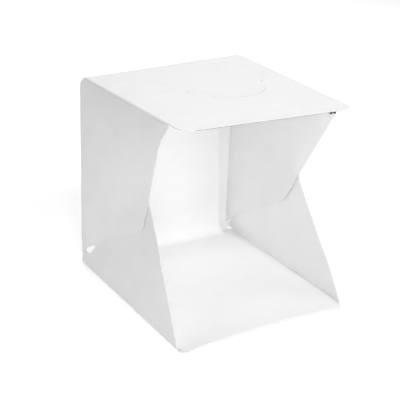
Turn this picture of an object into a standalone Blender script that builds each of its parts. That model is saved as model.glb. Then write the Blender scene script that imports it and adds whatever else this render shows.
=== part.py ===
"""Small folding photo light box, modelled assembled and standing on its floor panel.

The box is one die-cut, creased sheet of white polypropylene: floor, back and top in a
row, with two flaps hanging from the sides of the top and two standing up from the sides
of the floor. The flaps' tips overlap and hold each other by a magnet and a keeper disc.
A white backdrop sheet sweeps from the back down over the floor, and a strip of lamps
sits under the front lip of the top.

Frame: metres, +Z up, X across the open front, +Y towards the back, origin on the table
under the middle of the floor panel. Working lengths below are in millimetres.
"""
import math

import bmesh
import bpy
from mathutils import Matrix, Vector

MM = 0.001

# ---------------------------------------------------------------- driving dimensions, mm
WIDTH = 214.0          # across the top panel, crease to crease
FLOOR_DEPTH = 241.0    # floor panel, front edge to back face
TOP_DEPTH = 217.0      # top panel, front lip to back face
HEIGHT = 236.0         # table to the top face
SHEET = 0.8            # thickness of the creased sheet
GAP = 0.3              # clearance between pieces that meet

LAYER_GAP = 2.7        # between an upper flap (outside) and a lower flap (inside), at the magnet
CREASE_R = 0.38        # radius of a creased, thinned hinge line

# side flaps, measured along the wall from the back (S) and up from the table (Z)
NOTCH_S, NOTCH_Z = 144.0, 128.0      # where the front edges of the two flaps cross
UPPER_FRONT_SLOPE = 0.41             # S per Z of the upper flap's front edge
UPPER_BEND_Z, UPPER_CONTROL_Z = 200.0, 227.0
UPPER_CREASE_END = 192.0
UPPER_REAR_S = 1.5
UPPER_REAR_BOTTOM_Z = 19.2
UPPER_BOTTOM_SLOPE = 0.587
LOWER_CREASE_START = 3.0
LOWER_CREASE_END = 231.0
LOWER_TOP_SLOPE = 1.25
TIP_R = 9.0

TOP_CORNER_R = 18.0
FLOOR_CORNER_R = 9.0

# camera port: a near half-round flap cut in the top panel, hinged along its chord
PORT_X, PORT_CENTRE_S = 20.0, 92.0   # centre of the round cut, S from the back
PORT_S = 99.5                        # the chord that the flap hinges on
PORT_R = 50.0
PORT_KERF = 0.35
PORT_RELIEF_R = 1.5

# backdrop sheet
DROP_FLOOR_HALF_WIDTH = 95.0         # on the floor; the sheet narrows up the back
DROP_SWEEP_HALF_WIDTH = 91.0
DROP_TOP_HALF_WIDTH = 78.0
DROP_T = 0.5
DROP_SWEEP_R = 25.0
DROP_TOP_Z = 226.0
DROP_FRONT_S = 239.0
TAB_W, TAB_H, TAB_T = 30.0, 16.0, 1.0
TAB_X = 56.0
TAB_Z = 214.0

# lamp strip under the front lip
STRIP_HALF_LENGTH = 91.0
STRIP_FRONT_S, STRIP_BACK_S = 215.6, 205.6
TAPE_T = 0.5
BOARD_T = 1.6
LED_COUNT = 20
LED_FIRST_X, LED_PITCH = -85.5, 8.0
LED_W, LED_L, LED_T = 2.8, 3.5, 0.8
RESISTOR_EVERY = 4
SWITCH_X = 79.5
SWITCH_L, SWITCH_W, SWITCH_H = 7.0, 3.4, 3.2
SLIDER_L, SLIDER_OUT, SLIDER_H = 2.0, 1.1, 1.3
SLIDER_TRAVEL = 2.0
USB_L, USB_W, USB_H = 5.6, 7.4, 2.7
USB_WALL = 0.4

# magnetic closure
MAGNET_S, MAGNET_Z = 130.0, 113.0
MAGNET_R, MAGNET_T = 5.0, 1.0
KEEPER_R, KEEPER_T = 5.0, 0.5

# ---------------------------------------------------------------- derived
HALF_W = WIDTH / 2
BACK_Y = FLOOR_DEPTH / 2
FRONT_Y = -FLOOR_DEPTH / 2
TOP_FRONT_Y = BACK_Y - TOP_DEPTH
PORT_Y, PORT_CENTRE_Y = BACK_Y - PORT_S, BACK_Y - PORT_CENTRE_S
PORT_HALF_CHORD = math.sqrt(PORT_R ** 2 - (PORT_S - PORT_CENTRE_S) ** 2)
STRIP_FRONT_Y, STRIP_BACK_Y = BACK_Y - STRIP_FRONT_S, BACK_Y - STRIP_BACK_S
DROP_FRONT_Y = BACK_Y - DROP_FRONT_S
FLAP_OUT = HALF_W                               # outer face of a flap at its crease
FLAP_IN = FLAP_OUT - SHEET
HINGE_OFF = CREASE_R + GAP + 0.02               # from a crease line to the panel beside it
LOWER_BASE_Z = SHEET + 0.4                      # lower edge of a lower flap
LEAN = (SHEET + LAYER_GAP) / (MAGNET_Z - LOWER_BASE_Z)   # a lower flap leans inwards by this, per mm of height


# ---------------------------------------------------------------- scene and materials
for ob in list(bpy.data.objects):
    bpy.data.objects.remove(ob, do_unlink=True)

MATERIALS = {}


def material(name, colour, roughness, metallic=0.0):
    if name not in MATERIALS:
        mat = bpy.data.materials.new(name)
        mat.use_nodes = True
        bsdf = mat.node_tree.nodes["Principled BSDF"]
        bsdf.inputs["Base Color"].default_value = (*colour, 1.0)
        bsdf.inputs["Roughness"].default_value = roughness
        bsdf.inputs["Metallic"].default_value = metallic
        mat.diffuse_color = (*colour, 1.0)
        MATERIALS[name] = mat
    return MATERIALS[name]


def sheet_white():
    return material("white_polypropylene", (0.86, 0.86, 0.87), 0.42)


def add_object(name, bm, mat, origin=(0.0, 0.0, 0.0), parent=None, smooth_angle=None):
    """Turn a bmesh in world millimetres into an object with its origin at a point."""
    bmesh.ops.recalc_face_normals(bm, faces=bm.faces)
    origin_m = Vector(origin) * MM
    bmesh.ops.transform(bm, matrix=Matrix.Translation(-origin_m) @ Matrix.Scale(MM, 4), verts=bm.verts)
    mesh = bpy.data.meshes.new(name)
    bm.to_mesh(mesh)
    bm.free()
    mesh.materials.append(mat)
    ob = bpy.data.objects.new(name, mesh)
    bpy.context.collection.objects.link(ob)
    if parent is not None:
        ob.parent = parent
        ob.location = origin_m - Vector(parent["at"])
    else:
        ob.location = origin_m
    if smooth_angle is not None:
        mesh.shade_smooth()
        mesh.set_sharp_from_angle(angle=math.radians(smooth_angle))
    return ob


def add_pivot(name, at, parent=None):
    """An empty on a joint's axis; the pieces that move with the joint hang from it."""
    empty = bpy.data.objects.new(name, None)
    empty.empty_display_size = 0.01
    bpy.context.collection.objects.link(empty)
    at_m = Vector(at) * MM
    if parent is not None:
        empty.parent = parent
        empty.location = at_m - Vector(parent["at"])
    else:
        empty.location = at_m
    empty["at"] = list(at_m)
    return empty


# ---------------------------------------------------------------- outlines
def fillet(points, index, radius, steps=8):
    """Replace one corner of an outline by an arc of the given radius."""
    p0, p1, p2 = (Vector(points[(index + k) % len(points)]) for k in (-1, 0, 1))
    a, b = (p0 - p1).normalized(), (p2 - p1).normalized()
    half = math.acos(max(-1.0, min(1.0, a.dot(b)))) / 2
    cut = radius / math.tan(half)
    centre = p1 + (a + b).normalized() * (radius / math.sin(half))
    start, end = p1 + a * cut, p1 + b * cut
    a0 = math.atan2(start.y - centre.y, start.x - centre.x)
    a1 = math.atan2(end.y - centre.y, end.x - centre.x)
    turn = (a1 - a0 + math.pi) % (2 * math.pi) - math.pi
    arc = [
        (centre.x + radius * math.cos(a0 + turn * i / steps), centre.y + radius * math.sin(a0 + turn * i / steps))
        for i in range(steps + 1)
    ]
    return list(points[:index]) + arc + list(points[index + 1:])


def fillets(points, table, steps=8):
    """Round several corners, given as {index: radius}, from the last to the first."""
    for index in sorted(table, reverse=True):
        points = fillet(points, index, table[index], steps)
    return points


def plate(outline, lo, hi, place):
    """A closed plate: the 2-D outline at two depths, each mapped to space by place(u, v, w)."""
    bm = bmesh.new()
    a = [bm.verts.new(place(u, v, lo)) for u, v in outline]
    b = [bm.verts.new(place(u, v, hi)) for u, v in outline]
    bm.faces.new(a)
    bm.faces.new(list(reversed(b)))
    n = len(outline)
    for i in range(n):
        j = (i + 1) % n
        bm.faces.new((a[j], a[i], b[i], b[j]))
    return bm


def box(bm, lo, hi):
    """Add one closed box to a bmesh."""
    result = bmesh.ops.create_cube(bm, size=1.0)
    size = [hi[k] - lo[k] for k in range(3)]
    mid = [(hi[k] + lo[k]) / 2 for k in range(3)]
    bmesh.ops.transform(
        bm, matrix=Matrix.Translation(mid) @ Matrix.Diagonal((*size, 1.0)), verts=result["verts"]
    )
    return result["verts"]


def rod(bm, p, q, radius, segments=12):
    """Add one closed rod between two points."""
    p, q = Vector(p), Vector(q)
    axis = q - p
    turn = Vector((0, 0, 1)).rotation_difference(axis.normalized()).to_matrix().to_4x4()
    bmesh.ops.create_cone(
        bm, cap_ends=True, cap_tris=False, segments=segments, radius1=radius, radius2=radius,
        depth=axis.length, matrix=Matrix.Translation((p + q) / 2) @ turn,
    )


def flat(u, v, w):
    """Outline in plan: u = X, v = Y, w = Z."""
    return (u, v, w)


def wall(side, lean=0.0):
    """Outline on a side wall: u = distance from the back, v = Z, w = distance from the middle.

    With a lean, the wall tips inwards from its lower edge.
    """
    return lambda u, v, w: (side * (w - lean * (v - LOWER_BASE_Z)), BACK_Y - u, v)


# ---------------------------------------------------------------- pivots, one for each moving body
HALF_T = SHEET / 2
BACK_AXIS = (0.0, BACK_Y - HALF_T, HALF_T)
TOP_AXIS = (0.0, BACK_Y - HALF_T, HEIGHT - HALF_T)
UPPER_AXIS_X = FLAP_OUT - HALF_T
UPPER_AXIS_Z = HEIGHT - HALF_T
LOWER_AXIS_X = FLAP_IN - 0.1
LOWER_AXIS_Z = LOWER_BASE_Z
PORT_AXIS = (PORT_X, PORT_Y, HEIGHT - HALF_T)

floor_pivot = add_pivot("floor_body", (0.0, 0.0, 0.0))
back_pivot = add_pivot("back_body", BACK_AXIS, floor_pivot)
top_pivot = add_pivot("top_body", TOP_AXIS, back_pivot)
upper_pivot = {
    -1: add_pivot("upper_left_body", (-UPPER_AXIS_X, 0.0, UPPER_AXIS_Z), top_pivot),
    1: add_pivot("upper_right_body", (UPPER_AXIS_X, 0.0, UPPER_AXIS_Z), top_pivot),
}
lower_pivot = {
    -1: add_pivot("lower_left_body", (-LOWER_AXIS_X, 0.0, LOWER_AXIS_Z), floor_pivot),
    1: add_pivot("lower_right_body", (LOWER_AXIS_X, 0.0, LOWER_AXIS_Z), floor_pivot),
}
port_pivot = add_pivot("port_body", PORT_AXIS, top_pivot)


# ---------------------------------------------------------------- the creased sheet
def make_floor_panel():
    inner = UPPER_AXIS_X - HINGE_OFF
    step = BACK_Y - LOWER_CREASE_END - 1.0
    outline = [
        (-inner, BACK_Y - HALF_T - HINGE_OFF), (inner, BACK_Y - HALF_T - HINGE_OFF),
        (inner, step), (FLAP_OUT, step - 1.0), (FLAP_OUT, FRONT_Y),
        (-FLAP_OUT, FRONT_Y), (-FLAP_OUT, step - 1.0), (-inner, step),
    ]
    outline = fillets(outline, {4: FLOOR_CORNER_R - 1.5, 5: FLOOR_CORNER_R - 1.5})
    add_object("floor_panel", plate(outline, 0.0, SHEET, flat), sheet_white(), parent=floor_pivot)


def make_back_panel():
    z0, z1 = HALF_T + HINGE_OFF, HEIGHT - HALF_T - HINGE_OFF
    half = FLAP_OUT - GAP
    outline = [(-half, z0), (half, z0), (half, z1), (-half, z1)]
    bm = plate(outline, BACK_Y - SHEET, BACK_Y, lambda u, v, w: (u, w, v))
    add_object("back_panel", bm, sheet_white(), origin=BACK_AXIS, parent=back_pivot)


def port_arc(radius, chord_y):
    """Plan of the port: a round cut of the given radius, closed by a straight chord at the back."""
    dip = math.asin((PORT_CENTRE_Y - chord_y) / radius)
    steps = 40
    return [
        (
            PORT_X + radius * math.cos(math.pi + dip + (math.pi - 2 * dip) * i / steps),
            PORT_CENTRE_Y + radius * math.sin(math.pi + dip + (math.pi - 2 * dip) * i / steps),
        )
        for i in range(steps + 1)
    ]


def make_top_panel():
    inner = UPPER_AXIS_X - HINGE_OFF
    step = BACK_Y - UPPER_CREASE_END - 1.5
    rear = BACK_Y - HALF_T - HINGE_OFF
    outline = [
        (-inner, rear), (inner, rear), (inner, step), (FLAP_OUT, step - 1.5),
        (FLAP_OUT, TOP_FRONT_Y), (-FLAP_OUT, TOP_FRONT_Y), (-FLAP_OUT, step - 1.5), (-inner, step),
    ]
    outline = fillets(outline, {4: TOP_CORNER_R, 5: TOP_CORNER_R}, steps=10)
    bm = plate(outline, HEIGHT - SHEET, HEIGHT, flat)
    panel = add_object("top_panel", bm, sheet_white(), origin=TOP_AXIS, parent=top_pivot)

    # the camera port, with a small round relief at each end of its cut
    cutters = [
        add_object(
            "port_cutter", plate(port_arc(PORT_R + PORT_KERF, PORT_Y + HINGE_OFF), HEIGHT - 5.0, HEIGHT + 5.0, flat),
            sheet_white(), origin=TOP_AXIS, parent=top_pivot,
        )
    ]
    for side, word in ((-1, "left"), (1, "right")):
        x = PORT_X + side * (PORT_HALF_CHORD + 0.55)
        bm = bmesh.new()
        rod(bm, (x, PORT_Y, HEIGHT - 5.5), (x, PORT_Y, HEIGHT + 5.5), PORT_RELIEF_R, 16)
        cutters.append(
            add_object(f"relief_{word}_cutter", bm, sheet_white(), origin=TOP_AXIS, parent=top_pivot)
        )
    for tool in cutters:
        tool.hide_render = True
        tool.display_type = "WIRE"
        cut = panel.modifiers.new(tool.name, "BOOLEAN")
        cut.operation = "DIFFERENCE"
        cut.solver = "EXACT"
        cut.object = tool


def upper_flap_outline():
    """S, Z points of an upper flap: rear top, rear bottom, tip, front edge, concave run to the crease."""
    top = UPPER_AXIS_Z - HINGE_OFF
    tip_s = (
        NOTCH_S - UPPER_FRONT_SLOPE * (NOTCH_Z - UPPER_REAR_BOTTOM_Z + UPPER_BOTTOM_SLOPE * UPPER_REAR_S)
    ) / (1 - UPPER_FRONT_SLOPE * UPPER_BOTTOM_SLOPE)
    tip_z = UPPER_REAR_BOTTOM_Z + UPPER_BOTTOM_SLOPE * (tip_s - UPPER_REAR_S)
    bend, ctrl = (
        (NOTCH_S + UPPER_FRONT_SLOPE * (z - NOTCH_Z), z) for z in (UPPER_BEND_Z, UPPER_CONTROL_Z)
    )
    end = (UPPER_CREASE_END, top)
    curve = []
    for i in range(1, 9):
        t = i / 8
        curve.append(tuple((1 - t) ** 2 * bend[k] + 2 * t * (1 - t) * ctrl[k] + t * t * end[k] for k in range(2)))
    points = [(UPPER_REAR_S, top), (UPPER_REAR_S, UPPER_REAR_BOTTOM_Z), (tip_s, tip_z), bend] + curve
    return fillets(points, {1: 3.0, 2: TIP_R})


def lower_flap_outline():
    """S, Z points of a lower flap: a triangle on the floor crease with a rounded apex."""
    base = LOWER_AXIS_Z
    slope = (LOWER_CREASE_END - NOTCH_S) / (NOTCH_Z - base)
    apex_s = (LOWER_CREASE_END + slope * LOWER_TOP_SLOPE * LOWER_CREASE_START) / (1 + slope * LOWER_TOP_SLOPE)
    apex_z = base + LOWER_TOP_SLOPE * (apex_s - LOWER_CREASE_START)
    points = [(LOWER_CREASE_START, base), (LOWER_CREASE_END, base), (apex_s, apex_z)]
    return fillets(points, {2: TIP_R})


def make_flaps():
    for side, word in ((-1, "left"), (1, "right")):
        upper_axis = (side * UPPER_AXIS_X, 0.0, UPPER_AXIS_Z)
        lower_axis = (side * LOWER_AXIS_X, 0.0, LOWER_AXIS_Z)
        bm = plate(upper_flap_outline(), FLAP_IN, FLAP_OUT, wall(side))
        add_object(f"upper_{word}_flap", bm, sheet_white(), origin=upper_axis, parent=upper_pivot[side])
        bm = plate(lower_flap_outline(), FLAP_IN, FLAP_OUT, wall(side, LEAN))
        add_object(f"lower_{word}_flap", bm, sheet_white(), origin=lower_axis, parent=lower_pivot[side])


def make_port_flap():
    """Near half disc, hinged along its chord, flush with the top."""
    bm = plate(port_arc(PORT_R, PORT_Y - HINGE_OFF), HEIGHT - SHEET, HEIGHT, flat)
    add_object("camera_port_flap", bm, sheet_white(), origin=PORT_AXIS, parent=port_pivot)


def make_creases():
    """The thinned, folded hinge lines that join the panels."""
    def line(name, p, q, parent):
        bm = bmesh.new()
        rod(bm, p, q, CREASE_R)
        add_object(name, bm, material("crease_white", (0.80, 0.80, 0.81), 0.5), origin=p, parent=parent, smooth_angle=40)

    for name, axis, parent in (("rear_floor_crease", BACK_AXIS, floor_pivot), ("rear_top_crease", TOP_AXIS, back_pivot)):
        line(name, (-UPPER_AXIS_X + 1.5, *axis[1:]), (UPPER_AXIS_X - 1.5, *axis[1:]), parent)
    half = PORT_HALF_CHORD - 2.0
    line("camera_port_crease", (PORT_X - half, *PORT_AXIS[1:]), (PORT_X + half, *PORT_AXIS[1:]), top_pivot)
    for side, word in ((-1, "left"), (1, "right")):
        x = side * UPPER_AXIS_X
        line(
            f"upper_{word}_crease", (x, BACK_Y - UPPER_CREASE_END, UPPER_AXIS_Z),
            (x, BACK_Y - 3.0, UPPER_AXIS_Z), top_pivot,
        )
        line(
            f"lower_{word}_crease", (x, BACK_Y - LOWER_CREASE_END, HALF_T),
            (x, BACK_Y - LOWER_CREASE_START, HALF_T), floor_pivot,
        )


# ---------------------------------------------------------------- closures, backdrop, lamp strip
def make_closures():
    for side, word in ((-1, "left"), (1, "right")):
        y = BACK_Y - MAGNET_S
        lo = FLAP_IN - GAP - MAGNET_T
        bm = bmesh.new()
        rod(bm, (side * lo, y, MAGNET_Z), (side * (lo + MAGNET_T), y, MAGNET_Z), MAGNET_R, 32)
        add_object(
            f"{word}_magnet_disc", bm, material("nickel", (0.62, 0.60, 0.57), 0.28, 1.0),
            origin=(side * UPPER_AXIS_X, 0.0, UPPER_AXIS_Z), parent=upper_pivot[side], smooth_angle=40,
        )
        lo = FLAP_OUT - LEAN * (MAGNET_Z - LOWER_BASE_Z) + GAP
        bm = bmesh.new()
        rod(
            bm, (side * lo, y, MAGNET_Z), (side * (lo + KEEPER_T), y, MAGNET_Z + LEAN * KEEPER_T), KEEPER_R, 32,
        )
        add_object(
            f"{word}_keeper_disc", bm, material("keeper_steel", (0.55, 0.55, 0.55), 0.35, 1.0),
            origin=(side * LOWER_AXIS_X, 0.0, LOWER_AXIS_Z), parent=lower_pivot[side], smooth_angle=40,
        )


def make_backdrop():
    """One flexible sheet: up the back, round a sweep, and forward over the floor."""
    back_face = BACK_Y - SHEET - 3 * GAP - 2 * TAB_T          # rear face of the upright run
    floor_z = SHEET + GAP                                     # underside of the lying run
    cy, cz = back_face - DROP_SWEEP_R, floor_z + DROP_SWEEP_R
    steps = 14
    outer, inner = [(back_face, DROP_TOP_Z)], [(back_face - DROP_T, DROP_TOP_Z)]
    for i in range(steps + 1):
        a = -math.pi / 2 * i / steps
        outer.append((cy + DROP_SWEEP_R * math.cos(a), cz + DROP_SWEEP_R * math.sin(a)))
        r = DROP_SWEEP_R - DROP_T
        inner.append((cy + r * math.cos(a), cz + r * math.sin(a)))
    outer.append((DROP_FRONT_Y, floor_z))
    inner.append((DROP_FRONT_Y, floor_z + DROP_T))
    # the outline narrows from the floor, round the sweep and up the back
    outer.insert(-1, (cy - 20.0, floor_z))
    inner.insert(-1, (cy - 20.0, floor_z + DROP_T))

    def half_width(i):
        if i == 0:
            return DROP_TOP_HALF_WIDTH
        if i <= steps + 1:
            return DROP_SWEEP_HALF_WIDTH
        return DROP_FLOOR_HALF_WIDTH

    bm = bmesh.new()
    rings = []
    for side_x in (-1, 1):
        rings.append(
            [[bm.verts.new((side_x * half_width(i), y, z)) for i, (y, z) in enumerate(side)] for side in (outer, inner)]
        )
    n = len(outer)
    (lo, li), (ro, ri) = rings
    for i in range(n - 1):
        bm.faces.new((lo[i], lo[i + 1], ro[i + 1], ro[i]))
        bm.faces.new((li[i + 1], li[i], ri[i], ri[i + 1]))
        bm.faces.new((lo[i + 1], lo[i], li[i], li[i + 1]))
        bm.faces.new((ro[i], ro[i + 1], ri[i + 1], ri[i]))
    bm.faces.new((lo[0], ro[0], ri[0], li[0]))
    bm.faces.new((lo[-1], li[-1], ri[-1], ro[-1]))
    add_object(
        "backdrop_sheet", bm, material("backdrop_white", (0.84, 0.84, 0.84), 0.75),
        parent=floor_pivot, smooth_angle=40,
    )

    # hook tabs on the back panel, loop tabs on the back of the sheet
    for kind, rear, mat in (
        ("hook", BACK_Y - SHEET - GAP, material("hook_white", (0.78, 0.78, 0.78), 0.8)),
        ("loop", BACK_Y - SHEET - 2 * GAP - TAB_T, material("loop_white", (0.82, 0.82, 0.82), 0.9)),
    ):
        for side, word in ((-1, "left"), (1, "right")):
            bm = bmesh.new()
            x = side * TAB_X
            box(bm, (x - TAB_W / 2, rear - TAB_T, TAB_Z - TAB_H / 2), (x + TAB_W / 2, rear, TAB_Z + TAB_H / 2))
            add_object(f"backdrop_{kind}_tab_{word}", bm, mat, origin=BACK_AXIS, parent=back_pivot)


def make_lamp_strip():
    z = HEIGHT - SHEET - GAP
    black = material("board_black", (0.03, 0.03, 0.035), 0.45)
    bm = bmesh.new()
    box(bm, (-STRIP_HALF_LENGTH + 1, STRIP_FRONT_Y + 0.6, z - TAPE_T), (STRIP_HALF_LENGTH - 1, STRIP_BACK_Y - 0.6, z))
    add_object("strip_tape", bm, material("tape_white", (0.75, 0.75, 0.72), 0.7), origin=TOP_AXIS, parent=top_pivot)

    z -= TAPE_T + GAP
    outline = fillets(
        [
            (-STRIP_HALF_LENGTH, STRIP_FRONT_Y), (STRIP_HALF_LENGTH, STRIP_FRONT_Y),
            (STRIP_HALF_LENGTH, STRIP_BACK_Y), (-STRIP_HALF_LENGTH, STRIP_BACK_Y),
        ],
        {0: 1.0, 1: 1.0, 2: 1.0, 3: 1.0}, steps=3,
    )
    add_object("lamp_strip_board", plate(outline, z - BOARD_T, z, flat), black, origin=TOP_AXIS, parent=top_pivot)

    z -= BOARD_T + GAP
    mid_y = (STRIP_FRONT_Y + STRIP_BACK_Y) / 2
    for i in range(LED_COUNT):
        x = LED_FIRST_X + i * LED_PITCH
        bm = bmesh.new()
        box(bm, (x - LED_L / 2, mid_y - LED_W / 2, z - LED_T), (x + LED_L / 2, mid_y + LED_W / 2, z))
        add_object(f"led_{i + 1:02d}", bm, material("led_case", (0.85, 0.84, 0.70), 0.4), origin=TOP_AXIS, parent=top_pivot)
        if i % RESISTOR_EVERY == RESISTOR_EVERY - 1:
            xr = x - LED_PITCH / 2
            bm = bmesh.new()
            box(bm, (xr - 1.0, mid_y + 1.6, z - 0.5), (xr + 1.0, mid_y + 2.9, z))
            add_object(
                f"strip_resistor_{i // RESISTOR_EVERY + 1}", bm, material("resistor_black", (0.05, 0.05, 0.05), 0.5),
                origin=TOP_AXIS, parent=top_pivot,
            )

    # slide switch with its lever to the front; the body has a slot that the lever runs in
    y0 = STRIP_FRONT_Y + 0.6
    slot_l = SLIDER_L + SLIDER_TRAVEL + 2 * GAP
    slot_h = SLIDER_H + 2 * GAP
    zc = z - SWITCH_H / 2
    depth = 1.6
    bm = bmesh.new()
    box(bm, (SWITCH_X - SWITCH_L / 2, y0, z - SWITCH_H), (SWITCH_X + SWITCH_L / 2, y0 + SWITCH_W, z))
    body = add_object("switch_body", bm, material("switch_black", (0.02, 0.02, 0.022), 0.4), origin=TOP_AXIS, parent=top_pivot)
    bm = bmesh.new()
    box(bm, (SWITCH_X - slot_l / 2, y0 - 1.0, zc - slot_h / 2), (SWITCH_X + slot_l / 2, y0 + depth, zc + slot_h / 2))
    slot = add_object("slot_cutter", bm, sheet_white(), origin=TOP_AXIS, parent=top_pivot)
    slot.hide_render = True
    slot.display_type = "WIRE"
    cut = body.modifiers.new("slot", "BOOLEAN")
    cut.operation = "DIFFERENCE"
    cut.solver = "EXACT"
    cut.object = slot
    x0 = SWITCH_X - slot_l / 2 + GAP
    bm = bmesh.new()
    box(bm, (x0, y0 - SLIDER_OUT, zc - SLIDER_H / 2), (x0 + SLIDER_L, y0 + depth - GAP, zc + SLIDER_H / 2))
    slider_at = (x0 + SLIDER_L / 2, y0, zc)
    slider_pivot = add_pivot("switch_slider_body", slider_at, top_pivot)
    add_object("switch_slider", bm, material("slider_grey", (0.55, 0.55, 0.56), 0.45), origin=slider_at, parent=slider_pivot)

    # power socket at the right end: a pressed shell, open to the right, round a contact tongue
    x1 = STRIP_HALF_LENGTH
    bm = bmesh.new()
    w, h = USB_W / 2, USB_H
    ring = [
        (mid_y - w, z), (mid_y + w, z), (mid_y + w, z - h * 0.55), (mid_y + w - 1.1, z - h), (mid_y - w + 1.1, z - h),
        (mid_y - w, z - h * 0.55),
    ]
    shell = add_object(
        "usb_socket_shell",
        plate(ring, x1 - USB_L, x1, lambda u, v, d: (d, u, v)),
        material("tinned_steel", (0.6, 0.6, 0.6), 0.3, 1.0), origin=TOP_AXIS, parent=top_pivot,
    )
    t = USB_WALL
    hollow = [
        (mid_y - w + t, z - t), (mid_y + w - t, z - t), (mid_y + w - t, z - h * 0.55 + 0.1),
        (mid_y + w - 1.1 - t * 0.3, z - h + t), (mid_y - w + 1.1 + t * 0.3, z - h + t), (mid_y - w + t, z - h * 0.55 + 0.1),
    ]
    cutter = add_object(
        "socket_cutter", plate(hollow, x1 - USB_L + 0.8, x1 + 1.0, lambda u, v, d: (d, u, v)),
        sheet_white(), origin=TOP_AXIS, parent=top_pivot,
    )
    cutter.hide_render = True
    cutter.display_type = "WIRE"
    cut = shell.modifiers.new("hollow", "BOOLEAN")
    cut.operation = "DIFFERENCE"
    cut.solver = "EXACT"
    cut.object = cutter
    bm = bmesh.new()
    box(bm, (x1 - USB_L + 0.8 + GAP, mid_y - 1.8, z - 1.35), (x1 - 1.0, mid_y + 1.8, z - 0.75))
    add_object("usb_socket_tongue", bm, black, origin=TOP_AXIS, parent=top_pivot)


make_floor_panel()
make_back_panel()
make_top_panel()
make_flaps()
make_port_flap()
make_creases()
make_closures()
make_backdrop()
make_lamp_strip()
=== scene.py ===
"""Looks of the folding photo light box: a creased sheet of translucent white plastic, standing open.

Working lengths are in millimetres, written as (x, s, z): x across the open front, s from the
back towards the front, z up from the table.
"""

import math

import bmesh
import bpy
import numpy as np
from mathutils import Matrix, Vector


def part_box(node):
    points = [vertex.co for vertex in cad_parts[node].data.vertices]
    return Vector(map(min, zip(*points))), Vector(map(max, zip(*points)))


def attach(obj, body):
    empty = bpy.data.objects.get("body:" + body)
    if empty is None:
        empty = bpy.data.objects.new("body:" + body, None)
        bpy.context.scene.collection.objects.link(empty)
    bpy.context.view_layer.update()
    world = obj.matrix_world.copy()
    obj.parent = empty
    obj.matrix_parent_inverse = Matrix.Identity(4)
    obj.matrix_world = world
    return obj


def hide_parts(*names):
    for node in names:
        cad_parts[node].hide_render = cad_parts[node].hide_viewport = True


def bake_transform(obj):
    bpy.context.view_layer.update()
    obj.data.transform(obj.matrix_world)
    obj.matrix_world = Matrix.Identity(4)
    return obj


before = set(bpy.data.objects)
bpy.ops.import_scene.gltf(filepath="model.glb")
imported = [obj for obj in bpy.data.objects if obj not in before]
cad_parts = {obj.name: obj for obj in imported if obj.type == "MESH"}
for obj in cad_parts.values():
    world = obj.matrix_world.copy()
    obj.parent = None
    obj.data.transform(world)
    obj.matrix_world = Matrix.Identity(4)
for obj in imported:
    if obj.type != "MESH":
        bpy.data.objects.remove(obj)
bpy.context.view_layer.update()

MM = 0.001
HEIGHT = 236.0
BACK_Y = 120.5
T = 0.8                       # thickness of the creased sheet
HT = T / 2
TOP_Z = HEIGHT - HT           # middle of the top's thickness
SIDE_X = 107.0 - HT           # middle of a side's thickness
TOP_FRONT_S = 217.0
FLOOR_FRONT_S = 241.0

R_REAR_FLOOR = 2.2            # bend radii, to the middle of the sheet
R_TOP_SIDE = 2.2
R_FLOOR_SIDE = 1.4

scene = bpy.context.scene


# ================================================================ mesh helpers
def to_world(p):
    """(x, s, z) in millimetres to the row frame in metres."""
    p = np.asarray(p, float)
    return np.stack([p[..., 0], BACK_Y - p[..., 1], p[..., 2]], -1) * MM


def smooth01(t):
    t = np.clip(t, 0.0, 1.0)
    return t * t * (3 - 2 * t)


def resample(points, n):
    """n points at even steps along a polyline."""
    points = np.asarray(points, float)
    step = np.linalg.norm(np.diff(points, axis=0), axis=1)
    at = np.concatenate([[0], np.cumsum(step)])
    want = np.linspace(0, at[-1], n)
    return np.stack([np.interp(want, at, points[:, k]) for k in range(points.shape[1])], -1)


def spline(points, per=12):
    """A smooth curve through the points (centripetal Catmull-Rom)."""
    p = [np.asarray(q, float) for q in points]
    p = [2 * p[0] - p[1]] + p + [2 * p[-1] - p[-2]]
    out = []
    for a, b, c, d in zip(p, p[1:], p[2:], p[3:]):
        t = [0.0]
        for u, v in ((a, b), (b, c), (c, d)):
            t.append(t[-1] + max(np.linalg.norm(v - u), 1e-6) ** 0.5)
        for i in range(per):
            w = t[1] + (t[2] - t[1]) * i / per
            a1 = (t[1] - w) / (t[1] - t[0]) * a + (w - t[0]) / (t[1] - t[0]) * b
            a2 = (t[2] - w) / (t[2] - t[1]) * b + (w - t[1]) / (t[2] - t[1]) * c
            a3 = (t[3] - w) / (t[3] - t[2]) * c + (w - t[2]) / (t[3] - t[2]) * d
            b1 = (t[2] - w) / (t[2] - t[0]) * a1 + (w - t[0]) / (t[2] - t[0]) * a2
            b2 = (t[3] - w) / (t[3] - t[1]) * a2 + (w - t[1]) / (t[3] - t[1]) * a3
            out.append((t[2] - w) / (t[2] - t[1]) * b1 + (w - t[1]) / (t[2] - t[1]) * b2)
    out.append(p[-2])
    return np.array(out)


def corner(a, b, c, radius, steps=8):
    """Points of a rounded corner at b, between the directions to a and c."""
    a, b, c = (np.asarray(q, float) for q in (a, b, c))
    u, v = a - b, c - b
    u, v = u / np.linalg.norm(u), v / np.linalg.norm(v)
    half = math.acos(float(np.clip(u @ v, -1, 1))) / 2
    cut = radius / math.tan(half)
    start, end = b + u * cut, b + v * cut
    mid = b + (u + v) / np.linalg.norm(u + v) * radius / math.sin(half)
    out = []
    for i in range(steps + 1):
        w = i / steps
        q = (start - mid) * (1 - w) + (end - mid) * w
        out.append(mid + q / np.linalg.norm(q) * radius)
    return np.array(out)


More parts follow.
